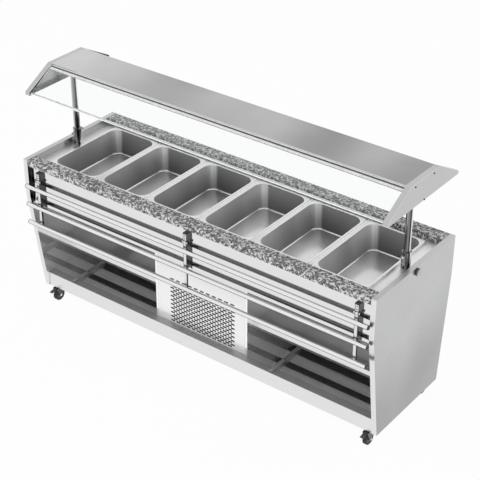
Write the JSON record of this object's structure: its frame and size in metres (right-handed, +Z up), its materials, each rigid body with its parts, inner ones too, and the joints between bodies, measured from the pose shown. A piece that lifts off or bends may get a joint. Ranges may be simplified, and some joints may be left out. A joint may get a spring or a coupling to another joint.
{
  "type": "mobile refrigerated salad bar",
  "caption": "Refrigerated salad bar on casters with food pans in a cold well, stone ledges, a glass-fronted canopy on two posts, a folding tray slide and open storage bays.",
  "frame": {"origin": "on the floor, at the middle of the footprint's bounding box", "axes": "+Z up, -Y towards the customer side with the tray slide, +X to the right seen from the front"},
  "size_m": [2.26, 0.7434, 1.418],
  "materials": {
    "stainless_sheet": "satin folded sheet",
    "stainless_mirror": "bright polished sheet",
    "stainless_tube": "polished tube",
    "pan_steel": "bright pressed steel",
    "well_foam": "foam between sheet skins",
    "stone": "polished speckled grey stone",
    "glass": "clear",
    "gasket": "matte",
    "light_housing": "gloss",
    "black_plastic": "satin",
    "zinc": "zinc plated",
    "tyre": "matte",
    "black_paint": "gloss paint",
    "fin_aluminium": "thin fins",
    "dark_box": "matte",
    "copper": "copper",
    "red_plastic": "gloss"
  },
  "bodies": {
    "cabinet": {"left_end_panel": "stainless_sheet", "right_end_panel": "stainless_sheet", "base_pan": "stainless_mirror", "base_crossmembers": "stainless_sheet", "caster_plates": "zinc", "front_fascia": "stainless_mirror", "rear_panel": "stainless_sheet", "mid_shelf_left": "stainless_sheet", "mid_shelf_right": "stainless_sheet", "bay_ribs": "stainless_sheet", "compartment_walls": "stainless_sheet", "front_grille": "stainless_sheet", "well_deck": "stainless_sheet", "cold_well": "well_foam", "divider_bars": "stainless_sheet", "front_granite": "stone", "rear_granite": "stone", "post_left": "stainless_tube", "post_right": "stainless_tube", "post_sleeves": "stainless_tube", "canopy_shelf": "stainless_sheet", "canopy_cheek_left": "stainless_sheet", "canopy_cheek_right": "stainless_sheet", "front_glass": "glass", "glass_channel": "gasket", "light_bar": "light_housing", "tray_brackets": "stainless_sheet", "compressor": "black_paint", "condenser": "fin_aluminium", "fan_motor": "black_paint", "control_box": "dark_box", "refrigerant_pipes": "copper", "drain_valve": "copper"},
    "tray_slide": {"tray_arms": "stainless_sheet", "tray_tubes": "stainless_tube", "tray_end_caps": "black_plastic"},
    "pan_1_body": {"pan_1": "pan_steel"},
    "pan_2_body": {"pan_2": "pan_steel"},
    "pan_3_body": {"pan_3": "pan_steel"},
    "pan_4_body": {"pan_4": "pan_steel"},
    "pan_5_body": {"pan_5": "pan_steel"},
    "pan_6_body": {"pan_6": "pan_steel"},
    "swivel_front_left": {"fork_front_left": "zinc"},
    "roll_front_left": {"wheel_front_left": "tyre"},
    "brake_front_left": {"pedal_front_left": "black_plastic"},
    "swivel_front_right": {"fork_front_right": "zinc"},
    "roll_front_right": {"wheel_front_right": "tyre"},
    "brake_front_right": {"pedal_front_right": "black_plastic"},
    "swivel_rear_left": {"fork_rear_left": "zinc"},
    "roll_rear_left": {"wheel_rear_left": "tyre"},
    "brake_rear_left": {"pedal_rear_left": "black_plastic"},
    "swivel_rear_right": {"fork_rear_right": "zinc"},
    "roll_rear_right": {"wheel_rear_right": "tyre"},
    "brake_rear_right": {"pedal_rear_right": "black_plastic"},
    "knob_left": {"clamp_knob_left": "stainless_tube"},
    "knob_right": {"clamp_knob_right": "stainless_tube"},
    "fan": {"fan_rotor": "black_plastic"},
    "thermostat": {"thermostat_knob": "black_plastic"},
    "switch": {"power_switch": "red_plastic"},
    "drain_handle": {"drain_lever": "red_plastic"}
  },
  "joints": [
    {"name": "tray_slide_fold", "type": "hinge", "parent": "cabinet", "child": "tray_slide", "pos_m": [0, -0.34075, 0.83], "axis": [-1, 0, 0], "range_deg": [0, 90]},
    {"name": "pan_1_lift", "type": "slide", "parent": "cabinet", "child": "pan_1_body", "axis": [0, 0, 1], "range_m": [0, 0.16]},
    {"name": "pan_2_lift", "type": "slide", "parent": "cabinet", "child": "pan_2_body", "axis": [0, 0, 1], "range_m": [0, 0.16]},
    {"name": "pan_3_lift", "type": "slide", "parent": "cabinet", "child": "pan_3_body", "axis": [0, 0, 1], "range_m": [0, 0.16]},
    {"name": "pan_4_lift", "type": "slide", "parent": "cabinet", "child": "pan_4_body", "axis": [0, 0, 1], "range_m": [0, 0.16]},
    {"name": "pan_5_lift", "type": "slide", "parent": "cabinet", "child": "pan_5_body", "axis": [0, 0, 1], "range_m": [0, 0.16]},
    {"name": "pan_6_lift", "type": "slide", "parent": "cabinet", "child": "pan_6_body", "axis": [0, 0, 1], "range_m": [0, 0.16]},
    {"name": "swivel_turn_front_left", "type": "hinge", "parent": "cabinet", "child": "swivel_front_left", "pos_m": [-1.05, -0.20425, 0.0967], "axis": [0, 0, 1], "continuous": true},
    {"name": "wheel_roll_front_left", "type": "hinge", "parent": "swivel_front_left", "child": "roll_front_left", "pos_m": [-1.05, -0.22625, 0.035], "axis": [1, 0, 0], "continuous": true},
    {"name": "brake_press_front_left", "type": "hinge", "parent": "swivel_front_left", "child": "brake_front_left", "pos_m": [-1.05, -0.24925, 0.0802], "axis": [-1, 0, 0], "range_deg": [0, 24]},
    {"name": "swivel_turn_front_right", "type": "hinge", "parent": "cabinet", "child": "swivel_front_right", "pos_m": [1.05, -0.20425, 0.0967], "axis": [0, 0, 1], "continuous": true},
    {"name": "wheel_roll_front_right", "type": "hinge", "parent": "swivel_front_right", "child": "roll_front_right", "pos_m": [1.05, -0.22625, 0.035], "axis": [1, 0, 0], "continuous": true},
    {"name": "brake_press_front_right", "type": "hinge", "parent": "swivel_front_right", "child": "brake_front_right", "pos_m": [1.05, -0.24925, 0.0802], "axis": [-1, 0, 0], "range_deg": [0, 24]},
    {"name": "swivel_turn_rear_left", "type": "hinge", "parent": "cabinet", "child": "swivel_rear_left", "pos_m": [-1.05, 0.26375, 0.0967], "axis": [0, 0, 1], "continuous": true},
    {"name": "wheel_roll_rear_left", "type": "hinge", "parent": "swivel_rear_left", "child": "roll_rear_left", "pos_m": [-1.05, 0.28575, 0.035], "axis": [1, 0, 0], "continuous": true},
    {"name": "brake_press_rear_left", "type": "hinge", "parent": "swivel_rear_left", "child": "brake_rear_left", "pos_m": [-1.05, 0.30875, 0.0802], "axis": [1, 0, 0], "range_deg": [0, 24]},
    {"name": "swivel_turn_rear_right", "type": "hinge", "parent": "cabinet", "child": "swivel_rear_right", "pos_m": [1.05, 0.26375, 0.0967], "axis": [0, 0, 1], "continuous": true},
    {"name": "wheel_roll_rear_right", "type": "hinge", "parent": "swivel_rear_right", "child": "roll_rear_right", "pos_m": [1.05, 0.28575, 0.035], "axis": [1, 0, 0], "continuous": true},
    {"name": "brake_press_rear_right", "type": "hinge", "parent": "swivel_rear_right", "child": "brake_rear_right", "pos_m": [1.05, 0.30875, 0.0802], "axis": [1, 0, 0], "range_deg": [0, 24]},
    {"name": "clamp_knob_turn_left", "type": "hinge", "parent": "cabinet", "child": "knob_left", "pos_m": [-1.123, 0.01375, 0.912], "axis": [-1, 0, 0], "range_deg": [0, 360]},
    {"name": "clamp_knob_turn_right", "type": "hinge", "parent": "cabinet", "child": "knob_right", "pos_m": [1.123, 0.01375, 0.912], "axis": [1, 0, 0], "range_deg": [0, 360]},
    {"name": "fan_spin", "type": "hinge", "parent": "cabinet", "child": "fan", "pos_m": [0.03, -0.12625, 0.308], "axis": [0, 1, 0], "continuous": true},
    {"name": "thermostat_turn", "type": "hinge", "parent": "cabinet", "child": "thermostat", "pos_m": [-0.16, 0.35675, 0.603], "axis": [0, 1, 0], "range_deg": [0, 270]},
    {"name": "power_rocker", "type": "hinge", "parent": "cabinet", "child": "switch", "pos_m": [-0.1, 0.34175, 0.603], "axis": [-1, 0, 0], "range_deg": [0, 16]},
    {"name": "drain_lever_turn", "type": "hinge", "parent": "cabinet", "child": "drain_handle", "pos_m": [0.2, 0.27175, 0.142], "axis": [0, -1, 0], "range_deg": [0, 90]}
  ]
}
